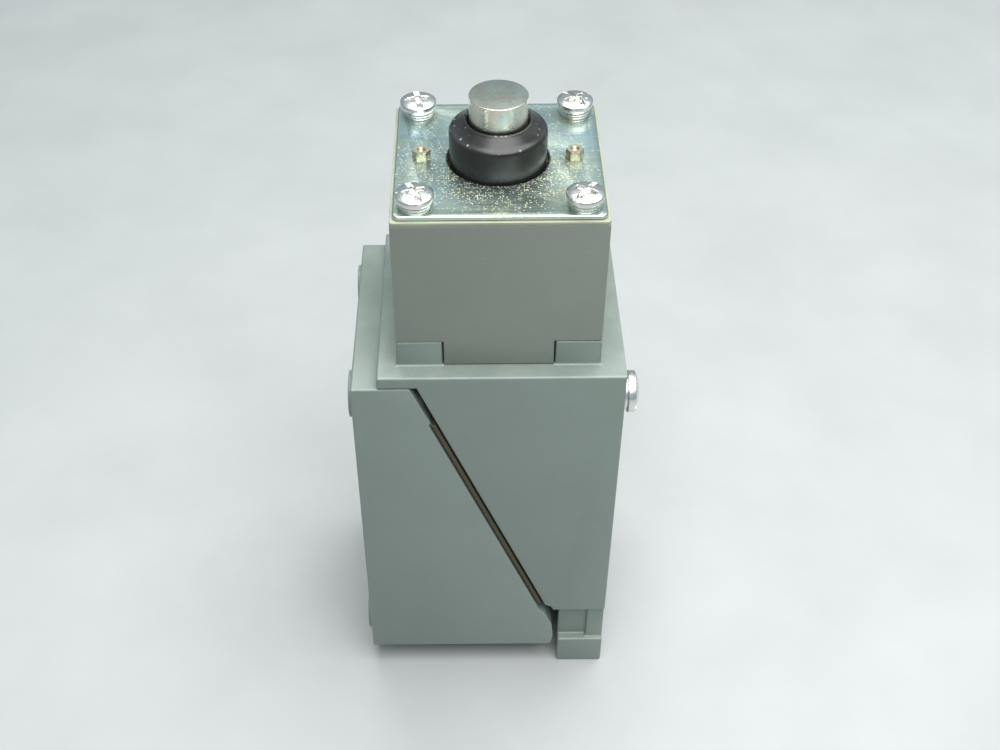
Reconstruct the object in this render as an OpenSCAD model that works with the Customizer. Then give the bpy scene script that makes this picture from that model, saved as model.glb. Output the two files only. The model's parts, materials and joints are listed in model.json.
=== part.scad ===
// Plug-in limit switch with a top push plunger.
// A wedge-shaped receptacle holds the wiring terminals and the conduit entry. The switch body
// plugs into it along a slanted joint, and the operating head stands on the switch body.
// Millimetres. +Z is up along the plunger, -X is the mounting back, Y runs across the case.
// The origin is the centre of the conduit entry's mouth.

/* [Case] */
// Depth of the case from the back face to the front face
case_depth = 46.8; // [46:0.2:60]
// Width of the case
case_width = 41.4; // [41:0.2:52]
// Height of the flange's top above the plane that the switch stands on
case_height = 79; // [77:0.5:96]
// Wall of both castings
case_wall = 2.5; // [2:0.1:2.6]
// Distance of the conduit axis from the back face
conduit_setback = 18.15; // [17:0.05:20]
// Distance of the plunger axis from the back face
plunger_setback = 25.25; // [25:0.05:27]
// Clearance under the receptacle, which is the drop of the conduit hub
receptacle_lift = 5.6; // [4:0.1:7]
// Clearance under the switch body
body_lift = 16.5; // [15:0.1:18]

/* [Slanted joint] */
// Distance of the receptacle's joint face from the back face, at the step
joint_top_setback = 13.1; // [12.6:0.1:15]
// Distance of the receptacle's joint face from the front face, at the body's underside
joint_bottom_setback = 13; // [12:0.1:15]
// Depth of the step under the flange
joint_step_drop = 11; // [10:0.1:12]
// Width of the joint between the castings, measured along X
joint_gap = 1.6; // [1.3:0.1:1.8]
// Amount that the receptacle's face stands forward above the step
joint_step = 0.4; // [0.2:0.1:0.6]
// Thickness of the joint gasket, measured along X
gasket_t = 0.75; // [0.6:0.05:1]
// Air left between the gasket and the switch body
gasket_clear = 0.03; // [0.02:0.01:0.08]
// Width of the shadow groove outside the sealing lips
lip_setback = 1.2; // [0.8:0.1:1.4]

/* [Flange and foot] */
// Thickness of the flange
flange_t = 2.4; // [2:0.1:3]
// Air between the flange and the receptacle
flange_clear = 0.1; // [0.05:0.05:0.2]
// Distance of the flange's rear edge from the back face
flange_setback = 4.55; // [4:0.05:6]
// Height of the foot
foot_h = 7; // [5:0.5:9]
// Slot between the receptacle's toe and the foot
foot_slot = 1; // [0.8:0.1:1.5]
// Amount that the neck above the foot is set back from the sides
neck_setback = 1.8; // [1:0.1:2.2]
// Length of the neck's thicker front edge
neck_edge = 2.4; // [2:0.1:3]

/* [Operating head] */
// Side of the square head
head_size = 34.5; // [33:0.1:41.4]
// Height of the head above the flange
head_h = 28.6; // [27:0.1:34]
// Height of the four corner pedestals
pedestal_h = 5; // [4:0.1:6]
// Side of a corner pedestal
pedestal_w = 7.75; // [7:0.05:8.5]
// Hairline gap between the head and the pedestals' sides
pedestal_gap = 0.2; // [0.1:0.05:0.3]
// Spacing of the head screws from back to front
head_screw_pitch_x = 26.6; // [26:0.1:27.4]
// Spacing of the head screws across the head
head_screw_pitch_y = 27.6; // [26:0.1:28]
// Thickness of the top plate
plate_t = 0.8; // [0.6:0.1:1.2]
// Thickness of the gasket under the top plate
plate_gasket_t = 0.6; // [0.3:0.05:0.8]
// Amount that the top plate stands back from the head's sides
plate_inset = 0.45; // [0.2:0.05:0.8]
// Corner radius of the top plate
plate_corner = 1.2; // [0.8:0.1:2]

/* [Plunger] */
// Diameter of the plunger
plunger_d = 9.5; // [8:0.1:11.6]
// Height of the plunger above the top plate at rest
plunger_proud = 11.6; // [10.5:0.1:13]
// Full travel of the plunger
plunger_travel = 4.2; // [3:0.1:4.4]
// Share of the plunger's travel that reaches the contacts
contact_ratio = 0.5; // [0.3:0.05:0.5]
// Height of the boot above the top plate
boot_h = 7.2; // [6.5:0.1:8]
// Height of the boot's straight lower part
boot_skirt_h = 5; // [4:0.1:5.5]
// Wall of the boot
boot_wall = 3.25; // [3:0.05:3.4]
// Air between the boot and the plate's opening
boot_clear = 0.35; // [0.2:0.05:0.5]
// Radial running clearance of the plunger in its bushing
plunger_clear = 0.04; // [0.02:0.01:0.08]

/* [Screws and mounting] */
// Spacing of the rear mounting holes across the case
mount_pitch_y = 30.2; // [30:0.1:31]
// Spacing of the rear mounting holes up the case
mount_pitch_z = 59.5; // [58:0.1:62]
// Depth of the upper mounting holes and the captive screw under the flange's top
mount_drop = 8.3; // [8:0.1:8.6]
// Radius of the rear mounting holes
mount_hole_r = 2.4; // [2.3:0.05:2.6]
// Depth of the rear mounting holes
mount_hole_depth = 5; // [4.5:0.1:5.2]
// Radius of the rear mounting bosses
mount_boss_r = 4.1; // [4:0.1:4.4]
// Amount that the rear mounting bosses stand proud
mount_boss_proud = 0.7; // [0.4:0.1:1]
// Radius of the conduit entry
conduit_r = 9.9; // [8:0.1:12]
// Wall of the conduit hub
conduit_wall = 3.6; // [3:0.1:4]
// Length of the conduit thread
conduit_len = 12.5; // [10:0.5:14]

/* [Hidden] */
$fn = 64;
cut = 1;            // overshoot of a cutting solid past the face it opens
fit = 0.02;         // radial room of a seated piece
free = 0.15;        // room around a piece that has to drop in

back_x = -conduit_setback;
front_x = back_x + case_depth;
axis_x = back_x + plunger_setback;
half_w = case_width / 2;
inner_half_w = half_w - case_wall;

flange_top = case_height;
flange_under = flange_top - flange_t;
receptacle_top = flange_under - flange_clear;
step_z = flange_top - joint_step_drop;
joint_slope = ((front_x - joint_bottom_setback) - (back_x + joint_top_setback)) / (step_z - body_lift);
function joint_x(z) = back_x + joint_top_setback + (step_z - z) * joint_slope;
function body_x(z) = joint_x(z) + joint_gap;
joint_lip = (joint_gap - gasket_t) / 2;

// The joint's opening, inside the gasket.
open_top = flange_top - 13.5;
open_bottom = body_lift + 4;
roof_z = flange_under - 3.1;

// Head levels, from the plate down to the transfer pin.
head_top = flange_top + head_h;
plate_bottom = head_top + plate_gasket_t;
plate_top = plate_bottom + plate_t;
plunger_r = plunger_d / 2;
boot_r = plunger_r + boot_wall;
boot_flange_r = boot_r + 2.4;
boot_flange_t = 1.4;
boot_web = 1.3;           // room inside the boot's wide part, beside the plunger
dome_r = 12 * plunger_r;  // radius of the plunger's domed tip
bushing_top = head_top - boot_flange_t - 0.1;
bushing_len = 12;
bushing_bottom = bushing_top - bushing_len;
bushing_r = plunger_r + 4.2;
chamber_r = bushing_r - 0.6;
clip_t = 0.9;
clip_top = bushing_bottom - 0.05;
seat_t = 1.4;
seat_r = chamber_r - 0.4;
seat_bottom = clip_top - clip_t - seat_t;
head_floor = flange_top + 3;
plunger_top = plate_top + plunger_proud;
plunger_bottom = head_floor + plunger_travel + 0.5;
pin_r = 2;
pin_bore_r = pin_r + 0.1;
pin_top = plunger_bottom + 11;
overtravel_len = 6;
return_wire_r = 0.5;
seal_r = 4.2;
seal_t = 2.2;

// Head fasteners.
head_shank_r = 1.4;
head_screw_r = 3.05;
head_screw_h = 2.9;
head_screw_drop = 33;
washer_t = 1.5;
washer_r = head_screw_r - 0.4;
stud_offset = head_size / 2 - 4.75;
stud_r = 0.9;
stud_af = 2.6;
stud_h = 1.5;
stud_len = 6;

// Captive screw, along X, on the -Y side.
screw_z = flange_top - mount_drop;
screw_y = mount_pitch_y / 2;
captive_r = 1.95;
captive_head_r = 3.7;
captive_head_h = 3;
captive_washer_t = 0.9;
captive_washer_r = captive_head_r - 0.5;
captive_boss_r = 3.4;
washer_split = 0.4;
insert_r = 3;
insert_len = 5;
insert_front = joint_x(screw_z + insert_r);
insert_back = insert_front - insert_len;
captive_tip = insert_back - 0.6;

// Name plate, on the front face under the captive screw.
name_half_w = 14;
name_low = body_lift + 10;
name_high = screw_z - captive_head_r - 4;
name_plate_t = 0.5;

// Contact block, on the plunger's axis under the roof.
block_top = screw_z - captive_boss_r - 0.4;
block_back = axis_x - 6;
block_front = axis_x + 13;
block_half_w = 16;
block_wall = 2;
cover_roof = 2.5;
strip_t = 0.8;
tip_t = 0.7;
tip_r = 1.5;
bridge_t = 1;
bridge_w = 5;
contact_gap = 0.05;
contact_travel = plunger_travel * contact_ratio;
closed_y = 4.6;
open_y = 11.4;
strip_w = 3;
pocket_top = block_top - cover_roof;
closed_z = pocket_top - 2;                                    // underside of a closed-side strip
bridge_top = closed_z - 2 * tip_t - contact_gap;
bridge_bottom = bridge_top - bridge_t;
open_z = bridge_bottom - 2 * tip_t - contact_travel - 0.1;    // top of an open-side strip
block_floor = open_z - strip_t;
spring_pocket = block_floor - 3.1;
block_bottom = spring_pocket - 1.4;
block_split = bridge_bottom - 0.5;
carrier_bottom = bridge_bottom - 2.1;
carrier_top = pocket_top - 0.1;
carrier_half_x = 3.2;
carrier_half_y = 2.6;
pin_bottom = block_top + 0.6;
stem_r = 2;
block_screw_x = axis_x + 9;
block_screw_y = 8;
block_screw_r = 1.25;
cavity_front = axis_x + 5;
blade_len = 11;
blade_tip = block_back - blade_len;

// Terminal block, on the receptacle's back wall.
back_in = back_x + case_wall;
jaw_web = 0.8;
jaw_leaf = 0.5;
jaw_clear = 0.06;
web_front = blade_tip - 0.5;
web_back = web_front - jaw_web;
jaw_depth = 4.5;
terminal_face = blade_tip + jaw_depth;
closed_blade_z = closed_z + strip_t / 2;
open_blade_z = open_z - strip_t / 2;
terminal_top = closed_blade_z + 2.5;
terminal_step = open_blade_z - 5;
terminal_bottom = open_blade_z - 26;
terminal_half_w = 16;
plate_w = 5.5;
open_terminal_z = open_blade_z - 11;
closed_terminal_z = open_blade_z - 20;
terminal_screw_r = 1.5;
clamp_t = 0.9;
holder_y = 13;
holder_z = terminal_bottom + 4.4;
ground_z = receptacle_lift + 14.5;
ground_y = 9;

NAME_PIN_LEVELS = [name_low + 2.5, name_high - 2.5];
TERMINALS = [
    [-open_y, open_blade_z, open_terminal_z],
    [-closed_y, closed_blade_z, closed_terminal_z],
    [closed_y, closed_blade_z, closed_terminal_z],
    [open_y, open_blade_z, open_terminal_z]
];

// ---- shared shapes ----

// A profile drawn in X and Z, extruded across the case.
module across(half) {
    translate([0, half, 0]) rotate([90, 0, 0]) linear_extrude(2 * half) children();
}

// A box from its lowest to its highest corner.
module block(low, high) {
    translate(low) cube(high - low);
}

// A cylinder along X from x0 to x1.
module rod_x(r, x0, x1) {
    translate([x0, 0, 0]) rotate([0, 90, 0]) cylinder(r = r, h = x1 - x0);
}

// Children at the four corners of a rectangle of the given pitches, around the plunger's axis.
module at_corners(pitch_x, pitch_y) {
    for (sx = [-1, 1], sy = [-1, 1])
        translate([axis_x + sx * pitch_x / 2, sy * pitch_y / 2, 0]) children();
}

// Children once on each side of the middle plane.
module at_sides(y) {
    for (s = [-1, 1]) translate([0, s * y, 0]) children();
}

// Children on the captive screw's axis.
module at_captive() {
    translate([0, -screw_y, screw_z]) children();
}

// A domed pan head on z = 0 with a cross recess, and a shank below it.
module pan_screw(head_r, head_h, shank_r, shank_len, slot_w, recess) {
    difference() {
        union() {
            intersection() {
                cylinder(r = head_r, h = head_h);
                translate([0, 0, head_h - 2 * head_r]) sphere(r = 2 * head_r);
            }
            translate([0, 0, -shank_len]) cylinder(r = shank_r, h = shank_len + head_h / 2);
        }
        block([-head_r - cut, -slot_w / 2, head_h * 0.55], [head_r + cut, slot_w / 2, head_h + cut]);
        if (recess)
            block([-slot_w / 2, -head_r * 0.6, head_h * 0.45], [slot_w / 2, head_r * 0.6, head_h + cut]);
    }
}

// A round wire wound into a helix that fills the length given, from z = 0 upwards.
function coil_point(i, k, steps, turns, mean_r, wire_r, length) =
    let (a = 360 * turns * i / steps, b = 45 * k,
         r = mean_r + wire_r * cos(b),
         z = wire_r + (length - 2 * wire_r) * i / steps + wire_r * sin(b))
    [r * cos(a), r * sin(a), z];

module coil_spring(mean_r, wire_r, length, turns) {
    steps = round(turns * 20);
    points = [for (i = [0:steps], k = [0:7]) coil_point(i, k, steps, turns, mean_r, wire_r, length)];
    sides = [for (i = [0:steps - 1], k = [0:7])
        [i * 8 + k, i * 8 + (k + 1) % 8, (i + 1) * 8 + (k + 1) % 8, (i + 1) * 8 + k]];
    polyhedron(points, concat([[7, 6, 5, 4, 3, 2, 1, 0]], sides,
        [[for (k = [0:7]) steps * 8 + k]]), convexity = 10);
}

// ---- receptacle ----

module receptacle_profile() {
    toe = [joint_x(body_lift), body_lift];
    polygon([
        [back_x, receptacle_lift],
        [toe[0] + 1.9, receptacle_lift],
        [toe[0] + 2.5, receptacle_lift + 0.3],
        [toe[0] + 2.9, receptacle_lift + 2.4],
        [toe[0] + 2.5, toe[1] - 4.5],
        [toe[0] + 1.1, toe[1] - 1],
        toe,
        [joint_x(step_z), step_z],
        [joint_x(step_z) + joint_step, step_z + joint_step],
        [joint_x(receptacle_top) + joint_step, receptacle_top],
        [back_x, receptacle_top]
    ]);
}

module receptacle_cavity() {
    across(inner_half_w) polygon([
        [back_in, receptacle_lift + case_wall],
        [joint_x(body_lift), receptacle_lift + case_wall],
        [joint_x(open_bottom) - case_wall, open_bottom],
        [joint_x(open_bottom) + joint_gap, open_bottom],
        [joint_x(open_top) + joint_gap, open_top],
        [joint_x(open_top) - case_wall, open_top],
        [joint_x(receptacle_top) - case_wall, receptacle_top - case_wall],
        [back_in, receptacle_top - case_wall]
    ]);
}

// The raised lip that carries the gasket, inside the shadow groove.
module receptacle_lip() {
    low = open_bottom - 1.8;
    high = open_top + 1.8;
    across(half_w - lip_setback) polygon([
        [joint_x(low) - case_wall, low],
        [joint_x(low) + joint_lip, low],
        [joint_x(high) + joint_lip, high],
        [joint_x(high) - case_wall, high]
    ]);
}

module receptacle_bosses() {
    at_sides(screw_y) translate([0, 0, screw_z])
        rod_x(mount_boss_r, back_x, joint_x(screw_z) + mount_boss_r);
    at_sides(screw_y) translate([0, 0, screw_z - mount_pitch_z])
        rod_x(mount_boss_r, back_x, back_x + mount_hole_depth + 1.5);
    translate([0, 0, receptacle_lift]) cylinder(r = conduit_r + conduit_wall, h = conduit_len - receptacle_lift);
    at_sides(holder_y) translate([0, 0, holder_z]) rod_x(2.8, back_x, back_in);
    translate([0, -ground_y, ground_z]) rod_x(4, back_x, back_in + 2.5);
}

module receptacle_housing() color([0.47, 0.52, 0.49]) {
    difference() {
        union() {
            difference() {
                union() {
                    across(half_w) receptacle_profile();
                    receptacle_lip();
                }
                receptacle_cavity();
            }
            intersection() {
                across(half_w) receptacle_profile();
                receptacle_bosses();
            }
            at_sides(screw_y) for (z = [screw_z, screw_z - mount_pitch_z])
                translate([0, 0, z]) rod_x(mount_boss_r, back_x - mount_boss_proud, back_x);
            cylinder(r = conduit_r + conduit_wall, h = receptacle_lift);
        }
        translate([0, 0, -cut]) cylinder(r = conduit_r, h = conduit_len + 2 * cut);
        at_sides(screw_y) for (z = [screw_z, screw_z - mount_pitch_z]) translate([0, 0, z])
            rod_x(mount_hole_r, back_x - mount_boss_proud - cut, back_x - mount_boss_proud + mount_hole_depth);
        at_captive() {
            rod_x(insert_r + fit, insert_back, front_x);
            rod_x(captive_r + 0.2, captive_tip - 0.4, insert_back + cut);
        }
        at_sides(holder_y) translate([0, 0, holder_z]) rod_x(1.3, back_x + 0.6, back_in + cut);
        translate([0, -ground_y, ground_z]) rod_x(2 + fit, back_x + 0.8, back_in + 2.5 + cut);
    }
}

module joint_gasket() color([0.36, 0.33, 0.2]) {
    low = open_bottom - 1.9;
    high = step_z - 0.3;
    difference() {
        across(half_w - 0.25) polygon([
            [joint_x(low) + joint_lip, low],
            [joint_x(low) + joint_lip + gasket_t - gasket_clear, low],
            [joint_x(high) + joint_lip + gasket_t - gasket_clear, high],
            [joint_x(high) + joint_lip, high]
        ]);
        across(inner_half_w) polygon([
            [joint_x(open_bottom) - cut, open_bottom],
            [joint_x(open_bottom) + joint_gap, open_bottom],
            [joint_x(open_top) + joint_gap, open_top],
            [joint_x(open_top) - cut, open_top]
        ]);
    }
}

module screw_insert() color([0.75, 0.62, 0.32]) {
    at_captive() difference() {
        rod_x(insert_r, insert_back, insert_front);
        rod_x(captive_r + 0.06, insert_back - cut, insert_front + cut);
    }
}

module terminal_block() color([0.13, 0.13, 0.14]) {
    difference() {
        union() {
            block([back_in, -terminal_half_w, terminal_bottom], [web_back, terminal_half_w, terminal_top]);
            block([back_in, -terminal_half_w, terminal_step], [terminal_face, terminal_half_w, terminal_top]);
        }
        for (t = TERMINALS) translate([0, t[0], 0]) {
            block([web_back, -plate_w / 2 - fit, terminal_bottom - cut],
                  [web_front + free, plate_w / 2 + fit, t[1] + 1.6]);
            block([web_back, -plate_w / 2 - fit, t[1] - 1.5], [terminal_face + cut, plate_w / 2 + fit, t[1] + 1.6]);
            translate([0, 0, t[2]]) rod_x(terminal_screw_r + fit, back_in + 0.6, web_front);
        }
        at_sides(holder_y) translate([0, 0, holder_z]) rod_x(1.3, back_in - cut, web_front);
    }
}

module terminal_strips() color([0.78, 0.72, 0.55]) {
    for (t = TERMINALS) translate([0, t[0], 0]) {
        inner = strip_t / 2 + jaw_clear;
        difference() {
            block([web_back + fit, -plate_w / 2, t[2] - 3.4], [web_front, plate_w / 2, t[1] + inner + jaw_leaf]);
            translate([0, 0, t[2]]) rod_x(terminal_screw_r + 0.1, web_back - cut, web_front + cut);
        }
        for (z = [t[1] + inner, t[1] - inner - jaw_leaf])
            block([web_front - 0.1, -plate_w / 2, z], [terminal_face - 0.5, plate_w / 2, z + jaw_leaf]);
    }
}

module terminal_clamps() color([0.8, 0.8, 0.78]) {
    for (t = TERMINALS) translate([0, t[0], t[2]]) difference() {
        block([web_front, -2.6, -2.6], [web_front + clamp_t, 2.6, 2.6]);
        rod_x(terminal_screw_r + 0.1, web_front - cut, web_front + clamp_t + cut);
    }
}

module terminal_screws() color([0.82, 0.82, 0.8]) {
    for (t = TERMINALS) translate([web_front + clamp_t, t[0], t[2]]) rotate([0, 90, 0])
        pan_screw(2.6, 1.7, terminal_screw_r, web_front + clamp_t - back_in - 1.2, 0.9, false);
}

module terminal_block_screws() color([0.8, 0.8, 0.78]) {
    at_sides(holder_y) translate([web_back, 0, holder_z]) rotate([0, 90, 0])
        pan_screw(2.4, 1.6, 1.25, web_back - back_x - 0.9, 0.8, false);
}

module ground_screw() color([0.1, 0.5, 0.25]) {
    translate([back_in + 2.5, -ground_y, ground_z]) rotate([0, 90, 0]) {
        cylinder(r = 4.2, h = 3, $fn = 6);
        translate([0, 0, -2.5 - case_wall + 1.2]) cylinder(r = 2, h = 2.5 + case_wall - 1.2 + cut);
    }
}

// ---- switch body ----

module switch_profile() {
    edge = body_x(body_lift + 1.5);
    polygon([
        [body_x(flange_under), flange_under],
        [edge, body_lift + 1.5],
        [edge + 1.2, body_lift + 1],
        [edge + 1.6, body_lift],
        [front_x, body_lift],
        [front_x, flange_under]
    ]);
}

module switch_cavity() {
    across(inner_half_w) polygon([
        [body_x(open_top) - joint_gap, open_top],
        [body_x(open_bottom) - joint_gap, open_bottom],
        [front_x - case_wall, open_bottom],
        [front_x - case_wall, roof_z],
        [body_x(roof_z) + case_wall, roof_z],
        [body_x(open_top) + case_wall, open_top]
    ]);
}

module switch_lip() {
    low = open_bottom - 1.8;
    high = open_top + 1.8;
    across(half_w - lip_setback) polygon([
        [body_x(low) - joint_lip, low],
        [body_x(low) + case_wall, low],
        [body_x(high) + case_wall, high],
        [body_x(high) - joint_lip, high]
    ]);
}

module switch_foot() {
    foot_x = joint_x(body_lift) + 2.9 + foot_slot;
    block([foot_x, -half_w, 0], [front_x, half_w, foot_h]);
    block([foot_x, -half_w + neck_setback, foot_h - cut],
          [front_x - neck_edge, half_w - neck_setback, body_lift + cut]);
    block([front_x - neck_edge - cut, -half_w + neck_setback / 2, foot_h - cut],
          [front_x, half_w - neck_setback / 2, body_lift + cut]);
}

module switch_housing() color([0.49, 0.54, 0.51]) {
    difference() {
        union() {
            difference() {
                union() {
                    across(half_w) switch_profile();
                    switch_lip();
                }
                switch_cavity();
            }
            block([back_x + flange_setback, -half_w, flange_under], [front_x, half_w, flange_top]);
            at_corners(head_size - pedestal_w, head_size - pedestal_w) translate([-pedestal_w / 2, -pedestal_w / 2, flange_top - cut])
                cube([pedestal_w, pedestal_w, pedestal_h + cut]);
            intersection() {
                across(half_w) switch_profile();
                union() {
                    at_captive() rod_x(captive_boss_r, back_x, front_x);
                    at_sides(block_screw_y) translate([block_screw_x, 0, block_top])
                        cylinder(r = 3, h = roof_z - block_top + cut);
                    translate([axis_x, 0, roof_z - 2]) cylinder(r = 5, h = 2 + cut);
                }
            }
            switch_foot();
        }
        at_captive() rod_x(captive_r + 0.3, back_x, front_x + cut);
        at_corners(head_screw_pitch_x, head_screw_pitch_y) translate([0, 0, plate_top - head_screw_drop])
            cylinder(r = head_shank_r + fit, h = head_screw_drop);
        at_sides(block_screw_y) translate([block_screw_x, 0, block_top - cut])
            cylinder(r = block_screw_r + fit, h = roof_z - block_top + cut);
        translate([axis_x, 0, roof_z - 2 - cut]) cylinder(r = pin_r + 0.3, h = flange_top);
        translate([axis_x, 0, flange_top - seal_t]) cylinder(r = seal_r + fit, h = seal_t + cut);
        name_plate_recess();
    }
}

module name_plate_recess() {
    block([front_x - name_plate_t / 2, -name_half_w - free, name_low - free],
          [front_x + cut, name_half_w + free, name_high + free]);
    for (z = NAME_PIN_LEVELS)
        translate([0, 0, z]) rod_x(0.8 + fit, front_x - 2, front_x + cut);
}

module name_plate() color([0.7, 0.71, 0.7]) {
    difference() {
        block([front_x - name_plate_t / 2, -name_half_w, name_low],
              [front_x + name_plate_t / 2, name_half_w, name_high]);
        for (z = NAME_PIN_LEVELS)
            translate([0, 0, z]) rod_x(0.8 + fit, front_x - cut, front_x + cut);
    }
}

module name_plate_pins() color([0.75, 0.75, 0.73]) {
    for (z = NAME_PIN_LEVELS) translate([0, 0, z]) {
        rod_x(0.8, front_x - 1.9, front_x + name_plate_t);
        rod_x(1.4, front_x + name_plate_t / 2, front_x + name_plate_t + 0.4);
    }
}

module captive_screw() color([0.82, 0.82, 0.78]) {
    at_captive() translate([front_x + captive_washer_t, 0, 0]) rotate([0, 90, 0])
        pan_screw(captive_head_r, captive_head_h - captive_washer_t, captive_r,
                  front_x + captive_washer_t - captive_tip, 1.1, false);
}

module captive_washer() color([0.74, 0.74, 0.7]) {
    at_captive() difference() {
        rod_x(captive_washer_r, front_x, front_x + captive_washer_t);
        rod_x(captive_r + 0.15, front_x - cut, front_x + captive_washer_t + cut);
        block([front_x - cut, 0, 0], [front_x + captive_washer_t + cut, captive_head_r, washer_split]);
    }
}

// ---- contact block ----

module contact_block_base() color([0.16, 0.16, 0.17]) {
    difference() {
        block([block_back, -block_half_w, block_bottom], [block_front, block_half_w, block_split]);
        block([block_back + block_wall, -block_half_w + block_wall, block_floor],
              [cavity_front, block_half_w - block_wall, block_split + cut]);
        at_sides(open_y) block([block_back - cut, -strip_w / 2 - fit, block_floor],
                               [block_back + block_wall + cut, strip_w / 2 + fit, open_z + fit]);
        translate([axis_x, 0, spring_pocket]) cylinder(r = 2.6, h = block_split);
        at_sides(block_screw_y) translate([block_screw_x, 0, block_bottom - cut])
            cylinder(r = block_screw_r + 0.15, h = block_split);
    }
}

module contact_block_cover() color([0.72, 0.7, 0.62]) {
    difference() {
        block([block_back, -block_half_w, block_split], [block_front, block_half_w, block_top]);
        block([block_back + block_wall, -block_half_w + block_wall, block_split - cut],
              [cavity_front, block_half_w - block_wall, closed_z + strip_t]);
        at_sides(closed_y) block([block_back - cut, -strip_w / 2 - fit, closed_z - fit],
                                 [block_back + block_wall + cut, strip_w / 2 + fit, closed_z + strip_t]);
        block([axis_x - carrier_half_x - free, -carrier_half_y - free, block_split - cut],
              [axis_x + carrier_half_x + free, carrier_half_y + free, pocket_top]);
        translate([axis_x, 0, block_split]) cylinder(r = stem_r + 0.06, h = block_top);
        at_sides(block_screw_y) translate([block_screw_x, 0, block_split - cut])
            cylinder(r = block_screw_r + 0.15, h = block_top);
    }
}

// One fixed strip: it plugs into the receptacle at its back end and carries a contact tip.
module contact_strip(z, tip_z) {
    block([blade_tip, -strip_w / 2, z], [axis_x + 2.4, strip_w / 2, z + strip_t]);
    translate([axis_x, 0, tip_z]) cylinder(r = tip_r, h = tip_t);
}

module closed_contacts() color([0.76, 0.6, 0.35]) {
    at_sides(closed_y) contact_strip(closed_z, closed_z - tip_t);
}

module open_contacts() color([0.76, 0.6, 0.35]) {
    at_sides(open_y) contact_strip(block_floor, open_z);
}

module block_screws() color([0.8, 0.8, 0.78]) {
    at_sides(block_screw_y) translate([block_screw_x, 0, block_bottom]) mirror([0, 0, 1])
        pan_screw(2.3, 1.5, block_screw_r, roof_z - block_bottom - 0.8, 0.7, true);
}

// ---- operating head ----

module stem_seal() color([0.12, 0.12, 0.12]) {
    translate([axis_x, 0, flange_top - seal_t]) difference() {
        cylinder(r = seal_r, h = seal_t - 0.1);
        translate([0, 0, -cut]) cylinder(r = pin_r + 0.06, h = seal_t + 2 * cut);
    }
}

module head_housing() color([0.5, 0.51, 0.47]) {
    half = head_size / 2;
    notch = pedestal_w + pedestal_gap;
    difference() {
        block([axis_x - half, -half, flange_top + 0.05], [axis_x + half, half, head_top]);
        for (sx = [-1, 1], sy = [-1, 1])
            translate([axis_x + sx * half - (sx > 0 ? notch : cut), sy * half - (sy > 0 ? notch : cut), 0])
                cube([notch + cut, notch + cut, flange_top + pedestal_h]);
        translate([axis_x, 0, head_floor]) cylinder(r = chamber_r, h = head_h);
        translate([axis_x, 0, bushing_bottom]) cylinder(r = bushing_r + fit, h = head_h);
        translate([axis_x, 0, bushing_top]) cylinder(r = boot_flange_r + free, h = head_h);
        translate([axis_x, 0, flange_top - cut]) cylinder(r = pin_r + 0.3, h = head_h);
        translate([axis_x, 0, 0]) rotate_extrude() translate([7, flange_top]) square([1.6, 1.5]);
        at_corners(head_screw_pitch_x, head_screw_pitch_y) translate([0, 0, flange_top]) cylinder(r = head_shank_r + 0.3, h = head_h + cut);
        for (s = [-1, 1]) translate([axis_x + s * stud_offset, 0, head_top - stud_len])
            cylinder(r = stud_r + fit, h = stud_len + cut);
    }
}

module head_seal_ring() color([0.12, 0.12, 0.12]) {
    translate([axis_x, 0, flange_top]) rotate_extrude() translate([7.8, 0.74]) circle(r = 0.72);
}

// A square with rounded corners.
module plate_outline(size, corner) {
    side = size / 2 - corner;
    square([size, 2 * side], center = true);
    square([2 * side, size], center = true);
    for (sx = [-1, 1], sy = [-1, 1]) translate([sx * side, sy * side]) circle(r = corner);
}

module plate_holes(opening_r) {
    circle(r = opening_r);
    for (sx = [-1, 1], sy = [-1, 1])
        translate([sx * head_screw_pitch_x, sy * head_screw_pitch_y] / 2) circle(r = head_shank_r + 0.2);
    for (s = [-1, 1]) translate([s * stud_offset, 0]) circle(r = stud_r + 0.1);
}

module plate_gasket() color([0.62, 0.56, 0.4]) {
    translate([axis_x, 0, head_top]) linear_extrude(plate_gasket_t) difference() {
        plate_outline(head_size, plate_corner / 2);
        plate_holes(boot_r + boot_clear);
    }
}

module top_plate() color([0.8, 0.8, 0.76]) {
    translate([axis_x, 0, plate_bottom]) linear_extrude(plate_t) difference() {
        plate_outline(head_size - 2 * plate_inset, plate_corner);
        plate_holes(boot_r + boot_clear);
    }
}

module head_screws() color([0.84, 0.84, 0.8]) {
    at_corners(head_screw_pitch_x, head_screw_pitch_y) translate([0, 0, plate_top + washer_t])
        pan_screw(head_screw_r, head_screw_h - washer_t, head_shank_r, head_screw_drop + washer_t - 0.5, 0.8, true);
}

module lock_washers() color([0.76, 0.76, 0.72]) {
    at_corners(head_screw_pitch_x, head_screw_pitch_y) translate([0, 0, plate_top]) difference() {
        cylinder(r = washer_r, h = washer_t);
        translate([0, 0, -cut]) cylinder(r = head_shank_r + 0.15, h = washer_t + 2 * cut);
        block([0, 0, -cut], [head_screw_r, washer_split, washer_t + cut]);
    }
}

module plate_studs() color([0.72, 0.62, 0.36]) {
    for (s = [-1, 1]) translate([axis_x + s * stud_offset, 0, plate_top]) difference() {
        union() {
            cylinder(d = stud_af / cos(30), h = stud_h, $fn = 6);
            translate([0, 0, -stud_len - plate_t]) cylinder(r = stud_r, h = stud_len + plate_t + cut);
        }
        translate([0, 0, stud_h - 0.5]) cylinder(r1 = 0.3, r2 = 0.8, h = 0.5 + 0.01);
    }
}

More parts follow.
